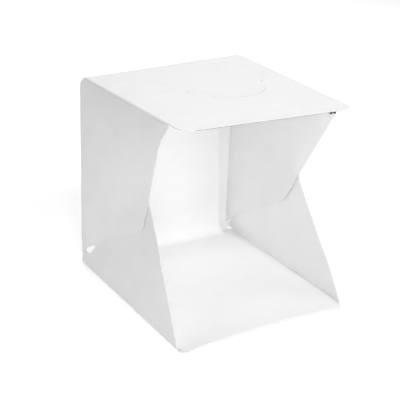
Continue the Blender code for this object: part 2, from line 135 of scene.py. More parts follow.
def coons(low, high, left, right, nu, nv):
    """A patch between four curves: low and high run along u, left and right along v."""
    low, high = resample(low, nu), resample(high, nu)
    left, right = resample(left, nv), resample(right, nv)
    u = np.linspace(0, 1, nu)[None, :, None]
    v = np.linspace(0, 1, nv)[:, None, None]
    return (
        (1 - v) * low[None] + v * high[None] + (1 - u) * left[:, None] + u * right[:, None]
        - (1 - u) * (1 - v) * low[0] - u * (1 - v) * low[-1] - (1 - u) * v * high[0] - u * v * high[-1]
    )


def grid_normals(g):
    du = np.gradient(g, axis=1)
    dv = np.gradient(g, axis=0)
    n = np.cross(du, dv)
    length = np.linalg.norm(n, axis=-1, keepdims=True)
    return n / np.maximum(length, 1e-12)


CUT = set()                   # pieces whose die-cut rim is marked by a second material index


def mesh_object(name, verts, faces, sharp=35.0, rim=None):
    mesh = bpy.data.meshes.new(name)
    mesh.from_pydata([tuple(v) for v in verts], [], [tuple(int(i) for i in f) for f in faces])
    # rim faces get the second material, a grey that is partly the real cut edge and partly painted shade
    if rim is not None:
        for i in range(rim, len(faces)):
            mesh.polygons[i].material_index = 1
        CUT.add(name)
    mesh.validate()
    bm = bmesh.new()
    bm.from_mesh(mesh)
    bmesh.ops.remove_doubles(bm, verts=bm.verts, dist=2e-6)
    bmesh.ops.recalc_face_normals(bm, faces=bm.faces)
    bm.to_mesh(mesh)
    bm.free()
    mesh.shade_smooth()
    mesh.set_sharp_from_angle(angle=math.radians(sharp))
    ob = bpy.data.objects.new(name, mesh)
    scene.collection.objects.link(ob)
    return ob


def slab(name, grid, thickness=T, sharp=35.0):
    """A sheet whose middle is the grid, given in (x, s, z) millimetres; thickness may vary over the grid."""
    g = to_world(grid)
    n = grid_normals(g)
    half = np.broadcast_to(thickness, g.shape[:2])[..., None] * MM / 2
    nv, nu = g.shape[:2]
    verts = np.concatenate([(g + n * half).reshape(-1, 3), (g - n * half).reshape(-1, 3)])
    index = np.arange(nv * nu).reshape(nv, nu)
    other = index + nv * nu
    faces = []
    for j in range(nv - 1):
        for i in range(nu - 1):
            faces.append((index[j, i], index[j, i + 1], index[j + 1, i + 1], index[j + 1, i]))
            faces.append((other[j, i], other[j + 1, i], other[j + 1, i + 1], other[j, i + 1]))
    rim = (
        [(index[0, i], index[0, i + 1]) for i in range(nu - 1)]
        + [(index[j, nu - 1], index[j + 1, nu - 1]) for j in range(nv - 1)]
        + [(index[nv - 1, i + 1], index[nv - 1, i]) for i in range(nu - 1)]
        + [(index[j + 1, 0], index[j, 0]) for j in range(nv - 1)]
    )
    sides = len(faces)
    for a, b in rim:
        faces.append((b, a, a + nv * nu, b + nv * nu))
    return mesh_object(name, verts, faces, sharp, sides)


def prism(name, outline, z0, z1):
    """A closed upright prism over an outline of (x, s) points, for cutting."""
    n = len(outline)
    low = to_world([(x, s, z0) for x, s in outline])
    high = to_world([(x, s, z1) for x, s in outline])
    faces = [tuple(range(n)), tuple(range(2 * n - 1, n - 1, -1))]
    faces += [(i, (i + 1) % n, n + (i + 1) % n, n + i) for i in range(n)]
    return mesh_object(name, np.concatenate([low, high]), faces)


def combined(name, source, tools):
    """A new object: the source cut or kept by closed tools, given as (operation, object)."""
    for operation, tool in tools:
        m = source.modifiers.new(operation, "BOOLEAN")
        m.operation, m.solver, m.object = operation, "EXACT", tool
    dg = bpy.context.evaluated_depsgraph_get()
    mesh = bpy.data.meshes.new_from_object(source.evaluated_get(dg), depsgraph=dg)
    mesh.name = name
    for m in list(source.modifiers):
        source.modifiers.remove(m)
    for face in mesh.polygons:
        # upright cut faces get the rim material, a grey that is partly the real cut edge and partly painted shade
        face.material_index = 1 if abs(face.normal.z) < 0.35 else 0
    CUT.add(name)
    ob = bpy.data.objects.new(name, mesh)
    scene.collection.objects.link(ob)
    mesh.shade_smooth()
    mesh.set_sharp_from_angle(angle=math.radians(35))
    return ob


def drop(*objects):
    for ob in objects:
        bpy.data.objects.remove(ob, do_unlink=True)


def lathe(name, profile, centre, axis, segments=40, sharp=35.0):
    """A turned piece: profile of (radius, height) in millimetres about an axis in the row frame."""
    axis = Vector(axis).normalized()
    side = axis.orthogonal().normalized()
    third = axis.cross(side)
    c = Vector(to_world(centre))
    verts, faces = [], []
    n = len(profile)
    for i in range(segments):
        a = 2 * math.pi * i / segments
        d = side * math.cos(a) + third * math.sin(a)
        verts += [tuple(c + d * (r * MM) + axis * (h * MM)) for r, h in profile]
    for i in range(segments):
        j = (i + 1) % segments
        for k in range(n - 1):
            faces.append((i * n + k, j * n + k, j * n + k + 1, i * n + k + 1))
    faces.append([i * n for i in range(segments)][::-1])
    faces.append([i * n + n - 1 for i in range(segments)])
    return mesh_object(name, verts, faces, sharp)


def box_mesh(name, lo, hi, bevel=0.0, segments=2):
    """A bevelled block between two corners in (x, s, z) millimetres."""
    a, b = to_world(lo), to_world(hi)
    low, high = np.minimum(a, b), np.maximum(a, b)
    bm = bmesh.new()
    made = bmesh.ops.create_cube(bm, size=1.0)
    bmesh.ops.transform(
        bm, matrix=Matrix.Translation((low + high) / 2) @ Matrix.Diagonal((*(high - low), 1.0)), verts=made["verts"]
    )
    if bevel:
        bmesh.ops.bevel(
            bm, geom=list(bm.edges), offset=bevel * MM, offset_type="OFFSET", segments=segments, profile=0.5,
            affect="EDGES",
        )
    mesh = bpy.data.meshes.new(name)
    bm.to_mesh(mesh)
    bm.free()
    mesh.shade_smooth()
    mesh.set_sharp_from_angle(angle=math.radians(40))
    ob = bpy.data.objects.new(name, mesh)
    scene.collection.objects.link(ob)
    return ob


# ================================================================ materials
def node_material(name):
    mat = bpy.data.materials.new(name)
    mat.use_nodes = True
    tree = mat.node_tree
    return mat, tree, tree.nodes["Principled BSDF"], tree.nodes["Material Output"]


def noise_node(tree, coord, scale, detail=3.0, roughness=0.5, distortion=0.0):
    n = tree.nodes.new("ShaderNodeTexNoise")
    n.inputs["Scale"].default_value = scale
    n.inputs["Detail"].default_value = detail
    n.inputs["Roughness"].default_value = roughness
    n.inputs["Distortion"].default_value = distortion
    tree.links.new(coord, n.inputs["Vector"])
    return n.outputs["Fac"]


def ramp(tree, value, stops):
    r = tree.nodes.new("ShaderNodeValToRGB")
    r.color_ramp.elements[0].position, r.color_ramp.elements[0].color = stops[0][0], (*stops[0][1], 1)
    r.color_ramp.elements[1].position, r.color_ramp.elements[1].color = stops[-1][0], (*stops[-1][1], 1)
    for at, colour in stops[1:-1]:
        e = r.color_ramp.elements.new(at)
        e.color = (*colour, 1)
    tree.links.new(value, r.inputs["Fac"])
    return r.outputs["Color"]


def map_range(tree, value, lo, hi, to_lo, to_hi):
    m = tree.nodes.new("ShaderNodeMapRange")
    m.inputs["From Min"].default_value, m.inputs["From Max"].default_value = lo, hi
    m.inputs["To Min"].default_value, m.inputs["To Max"].default_value = to_lo, to_hi
    tree.links.new(value, m.inputs["Value"])
    return m.outputs["Result"]


def bump(tree, height, strength, distance, into=None):
    b = tree.nodes.new("ShaderNodeBump")
    b.inputs["Strength"].default_value = strength
    b.inputs["Distance"].default_value = distance
    tree.links.new(height, b.inputs["Height"])
    if into is not None:
        tree.links.new(into, b.inputs["Normal"])
    return b.outputs["Normal"]


def plastic_sheet(name, light=(0.925, 0.925, 0.925), dark=(0.90, 0.90, 0.902), through=0.10, rough=(0.42, 0.58), grain=1.0):
    """Frosted polypropylene: a fine pressed grain, faint clouding, and light let through."""
    mat, tree, shader, out = node_material(name)
    coord = tree.nodes.new("ShaderNodeTexCoord").outputs["Object"]
    cloud = noise_node(tree, coord, 38.0, 4.0, 0.55)
    fine = noise_node(tree, coord, 1500.0, 2.0, 0.6)
    wave = noise_node(tree, coord, 16.0, 2.0, 0.5, 0.6)
    colour = ramp(tree, cloud, [(0.30, dark), (0.70, light)])
    tree.links.new(colour, shader.inputs["Base Color"])
    tree.links.new(map_range(tree, cloud, 0.3, 0.7, rough[1], rough[0]), shader.inputs["Roughness"])
    shader.inputs["Specular IOR Level"].default_value = 0.35
    normal = bump(tree, fine, 0.10 * grain, 0.0001)
    normal = bump(tree, wave, 0.10, 0.0015, normal)
    tree.links.new(normal, shader.inputs["Normal"])
    see = tree.nodes.new("ShaderNodeBsdfTranslucent")
    tree.links.new(colour, see.inputs["Color"])
    tree.links.new(normal, see.inputs["Normal"])
    mix = tree.nodes.new("ShaderNodeMixShader")
    mix.inputs["Fac"].default_value = through
    tree.links.new(shader.outputs["BSDF"], mix.inputs[1])
    tree.links.new(see.outputs["BSDF"], mix.inputs[2])
    tree.links.new(mix.outputs["Shader"], out.inputs["Surface"])
    return mat


def moulded(name, colours, rough=(0.35, 0.5), metallic=0.0, scale=900.0, strength=0.15, distance=0.00005, spec=0.5, stretch=None):
    """Colour and roughness that vary a little over a fine grain, which is drawn out along one way if stretch is set."""
    mat, tree, shader, _ = node_material(name)
    coord = tree.nodes.new("ShaderNodeTexCoord").outputs["Object"]
    if stretch:
        m = tree.nodes.new("ShaderNodeMapping")
        m.inputs["Scale"].default_value = stretch
        tree.links.new(coord, m.inputs["Vector"])
        coord = m.outputs["Vector"]
    fine = noise_node(tree, coord, scale, 3.0, 0.6)
    wide = noise_node(tree, coord, scale / 7, 3.0, 0.5)
    tree.links.new(ramp(tree, wide, [(0.3, colours[0]), (0.7, colours[1])]), shader.inputs["Base Color"])
    tree.links.new(map_range(tree, fine, 0.3, 0.7, *rough), shader.inputs["Roughness"])
    shader.inputs["Metallic"].default_value = metallic
    shader.inputs["Specular IOR Level"].default_value = spec
    tree.links.new(bump(tree, fine, strength, distance), shader.inputs["Normal"])
    return mat


def looped(name, colours, scale, strength):
    """The nap of hook or loop tape."""
    mat, tree, shader, _ = node_material(name)
    coord = tree.nodes.new("ShaderNodeTexCoord").outputs["Object"]
    cells = tree.nodes.new("ShaderNodeTexVoronoi")
    cells.inputs["Scale"].default_value = scale
    tree.links.new(coord, cells.inputs["Vector"])
    tree.links.new(ramp(tree, cells.outputs["Distance"], [(0.0, colours[1]), (0.7, colours[0])]), shader.inputs["Base Color"])
    shader.inputs["Roughness"].default_value = 0.9
    shader.inputs["Sheen Weight"].default_value = 0.4
    tree.links.new(bump(tree, cells.outputs["Distance"], strength, 0.0004), shader.inputs["Normal"])
    return mat


MAT_SHEET = plastic_sheet("frosted_sheet")
MAT_DROP = plastic_sheet("backdrop_matt", (0.94, 0.94, 0.94), (0.92, 0.92, 0.92), through=0.06, rough=(0.6, 0.75), grain=1.6)
# The die-cut rims are grey. Part of this is the real cut edge of the plastic, which is greyer than its faces. Part is
# painted shade: the grey is darkened so that rims facing the front lights do not render bright white.
MAT_CUT_EDGE_SHADE = moulded("cut_edge_painted_shade", ((0.54, 0.54, 0.54), (0.60, 0.60, 0.60)), (0.6, 0.75), 0.0, 1500.0, 0.2, 0.00005, 0.2)
MAT_HOOK = looped("hook_tape", ((0.62, 0.62, 0.62), (0.84, 0.84, 0.84)), 2200.0, 0.5)
MAT_LOOP = looped("loop_tape", ((0.70, 0.70, 0.70), (0.88, 0.88, 0.88)), 1400.0, 0.6)
MAT_NICKEL = moulded("nickel_plate", ((0.56, 0.54, 0.51), (0.66, 0.64, 0.60)), (0.2, 0.34), 1.0, 1200.0, 0.05)
MAT_KEEPER = moulded("plain_steel", ((0.46, 0.46, 0.46), (0.56, 0.56, 0.56)), (0.3, 0.45), 1.0, 1200.0, 0.1)
MAT_TAPE = moulded("foam_tape", ((0.72, 0.72, 0.69), (0.80, 0.80, 0.77)), (0.75, 0.9), 0.0, 1800.0, 0.4, 0.0001)
MAT_BOARD = moulded("solder_mask", ((0.012, 0.012, 0.014), (0.028, 0.028, 0.031)), (0.32, 0.46), 0.0, 1500.0, 0.1)
MAT_LAMP = moulded("lamp_case", ((0.80, 0.80, 0.78), (0.88, 0.88, 0.86)), (0.3, 0.42), 0.0, 2500.0, 0.05)
MAT_PHOSPHOR = moulded("lamp_phosphor", ((0.80, 0.62, 0.12), (0.86, 0.70, 0.20)), (0.25, 0.35), 0.0, 3000.0, 0.1)
MAT_CHIP = moulded("chip_resistor", ((0.02, 0.02, 0.02), (0.05, 0.05, 0.05)), (0.3, 0.45), 0.0, 2500.0, 0.1)
MAT_SOLDER = moulded("solder", ((0.55, 0.55, 0.56), (0.68, 0.68, 0.68)), (0.25, 0.4), 1.0, 2500.0, 0.2)
MAT_SWITCH = moulded("switch_plastic", ((0.010, 0.010, 0.011), (0.022, 0.022, 0.024)), (0.35, 0.5), 0.0, 1800.0, 0.15)
MAT_SLIDER = moulded("slider_plastic", ((0.42, 0.42, 0.43), (0.52, 0.52, 0.53)), (0.4, 0.52), 0.0, 1800.0, 0.15)
MAT_TIN = moulded("tinned_shell", ((0.52, 0.52, 0.52), (0.64, 0.64, 0.63)), (0.22, 0.38), 1.0, 1400.0, 0.1, stretch=(0.2, 1, 1))
MAT_TONGUE = moulded("tongue_plastic", ((0.015, 0.015, 0.016), (0.03, 0.03, 0.032)), (0.4, 0.5), 0.0, 1800.0, 0.1)


def dress(ob, mat, slot, body=None, nodes=()):
    which = [face.material_index for face in ob.data.polygons]
    ob.data.materials.clear()
    ob.data.materials.append(mat)
    if ob.name in CUT:
        ob.data.materials.append(MAT_CUT_EDGE_SHADE)
        ob.data.polygons.foreach_set("material_index", which)
    if nodes:
        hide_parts(*nodes)
    if body:
        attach(ob, body)
    return ob


# ================================================================ the shape of the bent sheet
BACK_LEAN = 8.6               # how far the back panel leans away at the top
FOOT_S = HT + 0.6
TILT = math.atan2(BACK_LEAN, HEIGHT)


def back_s(z):
    return FOOT_S - BACK_LEAN * np.asarray(z, float) / HEIGHT


def top_rise(x, s):
    """The top is a little twisted: its front left and rear right corners stand higher."""
    u = (np.asarray(x, float) + 107.0) / 214.0
    v = np.clip(np.asarray(s, float) / TOP_FRONT_S, -0.1, 1.1)
    return (1 - v) * (-2.2 * (1 - u) + 1.5 * u) + v * (3.8 * (1 - u) + 0.3 * u)


def rear_radius(x):
    """The bend between back and top is rounder at the left."""
    return 9.0 - 2.0 * np.clip(np.asarray(x, float) / 107.0, -1.0, 1.0)


def top_front(x):
    return TOP_FRONT_S + 5.0 * (np.asarray(x, float) + 107.0) / 214.0


def floor_rise(x, s):
    """The floor arches off the table towards its open front edge."""
    x, s = np.asarray(x, float), np.asarray(s, float)
    arch = np.clip(1 - (x / 106.0) ** 2, 0, 1)
    return 5.2 * arch * smooth01((s - 90.0) / 150.0)


def top_side(side):
    """Where the middle of the side's thickness meets the top's crease."""
    return SIDE_X if side < 0 else SIDE_X + 1.4


def floor_side(side, s):
    s = np.asarray(s, float)
    return SIDE_X + (2.6 + 0.7 * s / 241.0 if side < 0 else 2.0 + 0.5 * s / 241.0)


class Skin:
    """A smooth surface through design points (s, z, outward)."""

    def __init__(self, points):
        p = np.array(points, float)
        self.at = p[:, :2] / 100.0
        n = len(p)
        r = np.linalg.norm(self.at[:, None] - self.at[None], axis=-1)
        a = np.zeros((n + 3, n + 3))
        a[:n, :n] = self.kernel(r) + 1e-4 * np.eye(n)
        a[:n, n] = a[n, :n] = 1.0
        a[:n, n + 1:] = self.at
        a[n + 1:, :n] = self.at.T
        self.w = np.linalg.solve(a, np.concatenate([p[:, 2], np.zeros(3)]))

    @staticmethod
    def kernel(r):
        return np.where(r > 1e-9, r ** 2 * np.log(np.maximum(r, 1e-9)), 0.0)

    def __call__(self, s, z):
        q = np.stack([np.asarray(s, float), np.asarray(z, float)], -1) / 100.0
        r = np.linalg.norm(q[..., None, :] - self.at, axis=-1)
        n = len(self.at)
        return self.kernel(r) @ self.w[:n] + self.w[n] + q @ self.w[n + 1:]


CREASE_S0, CREASE_S1 = 4.0, 190.0
BEND_LEFT, BEND_RIGHT = 106.1, 107.1   # half widths of the bend between back and top

UPPER = {
    -1: {
        "front": [
            (190.0, None), (187.4, 229.8), (182.5, 221.6), (177.4, 210.0), (172.9, 198.1), (163.1, 174.3),
            (153.9, 151.9), (144.3, 128.9), (137.0, 108.0),
        ],
        "tip": (131.6, 94.2),
        "bottom": [(117.0, 86.3), (85.5, 68.6), (63.8, 55.6), (31.3, 34.6), (20.0, 28.0), (12.0, 22.8), (8.5, 19.2), (5.5, 14.0), (2.4, 10.5)],
        "skin": [
            (5, 233, 0.0), (50, 233, 0.0), (100, 234, 0.0), (150, 235, 0.0), (190, 235, 0.0),
            (-5, 222, 1.6), (50, 222, 1.8), (100, 223, 2.0), (150, 223, 2.1), (182, 222, 2.1),
            (-5, 208, 2.2), (60, 208, 2.5), (120, 208, 2.7), (176, 208, 2.8),
            (172.9, 198, 2.2), (163.1, 174.3, 0.0), (153.9, 151.9, -2.6), (144.3, 128.9, -5.2), (137, 108, -5.5), (131, 95, -5.6),
            (120, 180, 0.9), (110, 150, -1.4), (60, 180, 2.1), (60, 150, 1.2), (25, 180, 2.4),
            (-4, 180, 2.4), (-3, 150, 2.3), (-2, 120, 2.3), (-1, 80, 2.2), (1, 22, 2.1),
            (40, 110, 0.9), (80, 120, -1.9), (40, 65, 0.5), (80, 85, -2.6), (110, 118, -4.8), (110, 97, -4.7),
            (60, 54, -0.9), (30, 36, 0.8), (100, 78, -4.1), (117, 86, -5.1),
        ],
    },
    1: {
        "front": [
            (190.0, None), (188.6, 227.0), (186.5, 218.1), (179.3, 206.9), (173.7, 196.1), (167.9, 184.5), (163.0, 174.0),
            (153.1, 151.3), (142.2, 126.9), (137.6, 117.0), (133.6, 109.0), (128.6, 100.8),
        ],
        "tip": (122.0, 90.6),
        "bottom": [(110.0, 83.2), (85.5, 69.4), (63.8, 55.6), (31.3, 36.0), (17.0, 24.6), (8.0, 16.2), (2.2, 12.0)],
        "skin": [
            (5, 235, 1.4), (50, 235, 1.4), (100, 235, 1.4), (150, 234, 1.4), (190, 234, 1.6),
            (-5, 222, 0.8), (50, 222, 1.4), (100, 222, 2.2), (150, 222, 2.8), (186, 221, 3.3),
            (180, 208, 4.7), (173.7, 196, 4.2), (167.9, 184.5, 3.0), (163, 174, 1.6), (153.1, 151.3, -2.2), (142.2, 126.9, -6.4),
            (137, 112, -7.4), (131, 95, -7.9), (110, 150, -3.8), (120, 185, 0.8), (60, 190, -0.8),
            (-5, 200, -0.9), (-4, 160, -3.0), (-2, 112, -5.0), (-1, 70, -5.6), (1, 22, -6.2),
            (60, 120, -5.4), (60, 54, -6.2), (100, 80, -6.9), (30, 36, -6.1),
        ],
    },
}
LOWER = {
    -1: {
        "front": [(230.5, None), (222.0, 12.6), (207.0, 36.0), (178.0, 79.0), (160.5, 104.5), (144.5, 128.0)],
        "apex": (126.9, 153.6),
        "rear": [(110.0, 135.0), (95.0, 116.2), (60.0, 72.5), (33.0, 37.0), (24.5, 25.0), (18.3, 17.9), (12.0, 17.6), (7.0, 17.2), (3.0, 15.0), (2.0, 10.0), (2.0, None)],
        "skin": [
            (5, 2, 2.6), (60, 2, 2.8), (120, 2, 3.0), (180, 2, 3.1), (231, 2, 3.2),
            (222, 12.6, 1.8), (207, 36, 0.2), (178, 79, -3.6), (160.5, 104.5, -6.6), (144.5, 128, -8.3), (127, 153, -8.6),
            (110, 135, -8.2), (95, 116, -7.4), (60, 72.5, -4.4), (33, 38.7, -1.6), (128, 110, -8.2), (100, 80, -6.6),
            (60, 35, -0.6), (120, 40, -0.9), (170, 40, -0.4), (140, 70, -4.0),
        ],
    },
    1: {
        "front": [(230.5, None), (222.0, 12.6), (207.0, 36.0), (178.0, 79.0), (160.5, 104.5), (144.5, 128.0)],
        "apex": (126.9, 153.6),
        "rear": [(110.0, 135.0), (95.0, 116.2), (60.0, 76.0), (33.0, 50.0), (16.0, 38.5), (11.0, 31.0), (10.2, 25.0), (10.4, 20.0), (8.6, 16.0), (4.2, 12.6), (2.1, 8.5), (1.8, None)],
        "skin": [
            (5, 2, 2.0), (60, 2, 2.1), (120, 2, 2.2), (180, 2, 2.4), (231, 2, 2.6),
            (222, 12.6, 3.3), (216, 22, 3.0), (207, 36, 2.3), (190, 61, -0.6), (178, 79, -2.3), (160.5, 104.5, -4.4),
            (144.5, 128, -5.2), (128.5, 110.5, -5.2), (127, 153, -1.4), (110, 135, -3.0), (95, 116, -3.8), (60, 74, -5.0),
            (33, 45, -5.2), (8, 24, -5.3), (1.5, 20, -5.2), (90, 70, -5.9), (60, 52, -5.4), (60, 30, -2.6), (30, 34, -5.2), (120, 40, -0.8), (170, 40, 0.6),
        ],
    },
}
for shapes in (UPPER, LOWER):
    for shape in shapes.values():
        shape["skin"] = Skin(shape["skin"])


def upper_level(side, s):
    return TOP_Z - R_TOP_SIDE + float(top_rise(side * 107.0, s))


def filled(points, level, side):
    """Puts the crease's own height where a design point leaves it open."""
    return [(s, level(side, s) if z is None else z) for s, z in points]


def on_skin(grid, shape, side):
    out = shape["skin"](grid[..., 0], grid[..., 1])
    return np.stack([side * (SIDE_X + out), grid[..., 0], grid[..., 1]], -1)


def upper_grid(side):
    d = UPPER[side]
    front = spline(filled(d["front"], upper_level, side))
    bottom = spline(d["bottom"])
    tip = np.array(d["tip"])
    arc = corner(front[-1], tip, bottom[0], 8.5, 12)
    clear = 1.1 if side < 0 else 0.75
    s_mid, z_mid = top_rear(side * 106.0)
    r = float(rear_radius(side * 106.0))
    top = upper_level(side, 0)
    last = math.asin((top - (TOP_Z + float(top_rise(side * 106.0, 0.0)) - r)) / (r - 0.2))
    rear = [(float(back_s(z)) + clear, z) for z in (30.0, 60.0, 100.0, 140.0, 180.0, 205.0)]
    rear += [
        (s_mid - (r - 0.2) * math.cos(a), z_mid + r * math.sin(TILT) + (r - 0.2) * math.sin(a)) for a in np.linspace(0.0, last, 5)
    ]
    rear = spline(rear)
    low_corner = corner(bottom[-2] * 0.5 + bottom[-1] * 0.5, bottom[-1], rear[0], 3.0, 6)
    half = len(arc) // 2
    front = np.concatenate([front[:-1], arc[: half + 1]])
    bottom = np.concatenate([arc[half:], bottom[1:-1], low_corner[:4]])
    rear = np.concatenate([low_corner[3:], rear[1:]])
    s = np.linspace(rear[-1][0], CREASE_S1, 60)
    crease = np.stack([s, [upper_level(side, v) for v in s]], -1)
    crease[-1], crease[0] = front[0], rear[-1]
    return on_skin(coons(crease, bottom[::-1], rear[::-1], front, 64, 72), d, side)


def lower_level(side, s):
    return HT + R_FLOOR_SIDE


def lower_grid(side):
    d = LOWER[side]
    front = spline(filled(d["front"], lower_level, side))
    rear = spline(filled(d["rear"], lower_level, side))
    apex = np.array(d["apex"])
    arc = corner(front[-1], apex, rear[0], 9.0, 12)
    s = np.linspace(rear[-1][0], 230.5, 60)
    crease = np.stack([s, np.full(60, HT + R_FLOOR_SIDE)], -1)
    third = len(arc) // 3
    left = np.concatenate([arc[2 * third:], rear[1:]])[::-1]
    right = np.concatenate([front, arc[: third + 1]])
    top = arc[third: 2 * third + 1][::-1]
    left[-1], right[-1] = top[0], top[-1]
    crease[0], crease[-1] = left[0], right[0]
    return on_skin(coons(crease, top, left, right, 72, 60), d, side)


# ================================================================ floor, back and their bends
REAR_FLOOR_Z = HT + R_REAR_FLOOR * (1 - math.sin(TILT))
REAR_FLOOR_S = float(back_s(REAR_FLOOR_Z)) + R_REAR_FLOOR * math.cos(TILT)


def top_rear(x):
    """Where the top's flat part starts behind."""
    r = float(rear_radius(x))
    z = TOP_Z + float(top_rise(x, 0.0)) - r * (1 + math.sin(TILT))
    return float(back_s(z)) + r * math.cos(TILT), z


def edge_run(start, inner, outer, flare_s, length):
    """The side edge of a panel: straight beside its bend, then out to the sheet's full width."""
    run = [(inner(start), start)] + [(inner(v), v) for v in np.linspace(start + 10, flare_s, 20)]
    return run + [
        (inner(flare_s + length * t) * (1 - smooth01(t)) + outer(flare_s + length * t) * smooth01(t), flare_s + length * t)
        for t in np.linspace(0.1, 1, 8)
    ]


def make_floor():
    sides = []
    for side in (-1, 1):
        def outer(s, side=side):
            return side * (float(floor_side(side, s)) + HT)

        def inner(s, side=side):
            return side * (float(floor_side(side, s)) - R_FLOOR_SIDE)

        front = FLOOR_FRONT_S
        radius = 9.0 if side < 0 else 11.0
        arc = corner((outer(200.0), 200.0), (outer(front), front), (0.0, front), radius, 12)
        edge = edge_run(REAR_FLOOR_S, inner, outer, 228.0 if side < 0 else 225.5, 3.5)
        half = len(arc) // 2
        sides.append((np.array(edge + [tuple(q) for q in arc[: half + 1]]), arc[half:]))
    (left, arc_l), (right, arc_r) = sides
    fronts = np.concatenate([arc_l, arc_r[::-1]])
    low = np.array([left[0], right[0]])
    g = coons(low, fronts, left, right, 72, 84)
    z = HT + floor_rise(g[..., 0], g[..., 1])
    ob = slab("floor_sheet", np.concatenate([g, z[..., None]], -1))
    dress(ob, MAT_SHEET, "white_sheet", "floor", ["floor_panel"])


def back_edge(side, z):
    """The back panel's half width: it reaches the left flap's face, but for a relief cut by the floor, and
    stays inside the right one's crease."""
    low = float(floor_side(side, 0.0)) - 0.2
    high = float(top_side(side)) + (1.6 if side < 0 else 0.0)
    relief = 18.0 * smooth01((z - 5.0) / 4.0) * (1 - smooth01((z - 20.0) / 8.0)) if side < 0 else 0.0
    return low * (1 - z / HEIGHT) + high * (z / HEIGHT) - relief


def make_back():
    rows = []
    for v in np.concatenate([np.linspace(0, 0.16, 28)[:-1], np.linspace(0.16, 1, 52)]):
        ends = []
        for side in (-1, 1):
            top = top_rear(side * 106.0)[1]
            z = REAR_FLOOR_Z + (top - REAR_FLOOR_Z) * v
            ends.append((side * back_edge(side, z), z))
        (x0, z0), (x1, z1) = ends
        narrow = smooth01((v - 0.955) / 0.045)          # to the width of the bend
        x0, x1 = x0 + (-BEND_LEFT - x0) * narrow, x1 + (BEND_RIGHT - x1) * narrow
        rows.append([
            (x0 + (x1 - x0) * u, float(back_s(z0 * (1 - u) + z1 * u)), z0 * (1 - u) + z1 * u)
            for u in np.linspace(0, 1, 60)
        ])
    ob = slab("back_sheet", np.array(rows))
    dress(ob, MAT_SHEET, "white_sheet", "back", ["back_panel"])


def make_bends():
    # floor to back
    r = R_REAR_FLOOR
    g = []
    for x in np.linspace(-103.5, 103.5, 60):
        c = np.array((x, REAR_FLOOR_S, HT + r))
        g.append([c + r * np.array((0, -math.sin(t), -math.cos(t))) for t in np.linspace(0, math.pi / 2 - TILT, 9)])
    ob = slab("rear_floor_bend", np.array(g))
    dress(ob, MAT_SHEET, "crease", None, ["rear_floor_crease"])
    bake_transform(ob)

    # back to top
    g = []
    for x in np.linspace(-BEND_LEFT, BEND_RIGHT, 60):
        s, _ = top_rear(x)
        r = float(rear_radius(x))
        c = np.array((x, s, TOP_Z + float(top_rise(x, s)) - r))
        g.append([c + r * np.array((0, -math.cos(t), math.sin(t))) for t in np.linspace(-TILT, math.pi / 2, 17)])
    ob = slab("rear_top_bend", np.array(g))
    CUT.discard(ob.name)
    ob.data.polygons.foreach_set("material_index", [0] * len(ob.data.polygons))
    dress(ob, MAT_SHEET, "crease", None, ["rear_top_crease"])
    s, z = top_rear(0.0)
    r = float(rear_radius(0.0))
    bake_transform(ob)

    for side, word in ((-1, "left"), (1, "right")):
        # top to upper flap
        r = R_TOP_SIDE
        g = []
        for s in np.linspace(CREASE_S0 + 1.0, CREASE_S1, 60):
            c = np.array((side * (top_side(side) - r), s, upper_level(side, s)))
            g.append([c + r * np.array((side * math.sin(t), 0, math.cos(t))) for t in np.linspace(0, math.pi / 2, 11)])
        ob = slab(f"upper_{word}_bend", np.array(g))
        dress(ob, MAT_SHEET, "crease", None, [f"upper_{word}_crease"])
        x = top_side(side)
        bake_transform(ob)
        # floor to lower flap
        r = R_FLOOR_SIDE
        g = []
        for s in np.linspace(5.0, 230.5, 60):
            c = np.array((side * (float(floor_side(side, s)) - r), s, HT + r))
            g.append([c + r * np.array((side * math.sin(t), 0, -math.cos(t))) for t in np.linspace(0, math.pi / 2, 9)])
        ob = slab(f"lower_{word}_bend", np.array(g))
        dress(ob, MAT_SHEET, "crease", None, [f"lower_{word}_crease"])
        x = float(floor_side(side, 120.0))
        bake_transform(ob)


def make_flaps():
    for side, word in ((-1, "left"), (1, "right")):
        thick = np.full((72, 64), T)
        if side > 0:
            thick *= 1 - 0.65 * smooth01((np.linspace(0, 1, 72) - 0.93) / 0.07)[:, None]
        ob = slab(f"upper_{word}_sheet", upper_grid(side), thick)
        dress(ob, MAT_SHEET, "white_sheet", f"upper_{word}", [f"upper_{word}_flap"])
        ob = slab(f"lower_{word}_sheet", lower_grid(side))
        dress(ob, MAT_SHEET, "white_sheet", f"lower_{word}", [f"lower_{word}_flap"])


# ================================================================ top with the camera port
PORT_X, PORT_C, PORT_S, PORT_R = 20.0, 92.0, 99.5, 50.0
PORT_KERF = 0.06


def port_outline(radius, chord_s):
    dip = math.asin((chord_s - PORT_C) / radius)
    return [
        (PORT_X + radius * math.cos(a), PORT_C + radius * math.sin(a))
        for a in np.linspace(dip, math.pi - dip, 64)
    ]


def flap_outline(chord_s):
    """The flap is cut a little short at its front, so that the cut gapes there."""
    return [(x, s - 0.75 * max((s - PORT_C) / PORT_R, 0.0) ** 2) for x, s in port_outline(PORT_R, chord_s)]


def open_along(ob, places):
    """Takes out the upright faces that lie on a line s = place, where two pieces of one sheet meet."""
    bm = bmesh.new()
    bm.from_mesh(ob.data)
    gone = []
    for f in bm.faces:
        c = f.calc_center_median()
        s = BACK_Y - c.y / MM
        if abs(f.normal.y) > 0.9 and abs(c.x / MM - PORT_X) < PORT_R and any(abs(s - at) < 0.05 for at in places):
            gone.append(f)
    bmesh.ops.delete(bm, geom=gone, context="FACES_ONLY")
    bm.to_mesh(ob.data)
    bm.free()


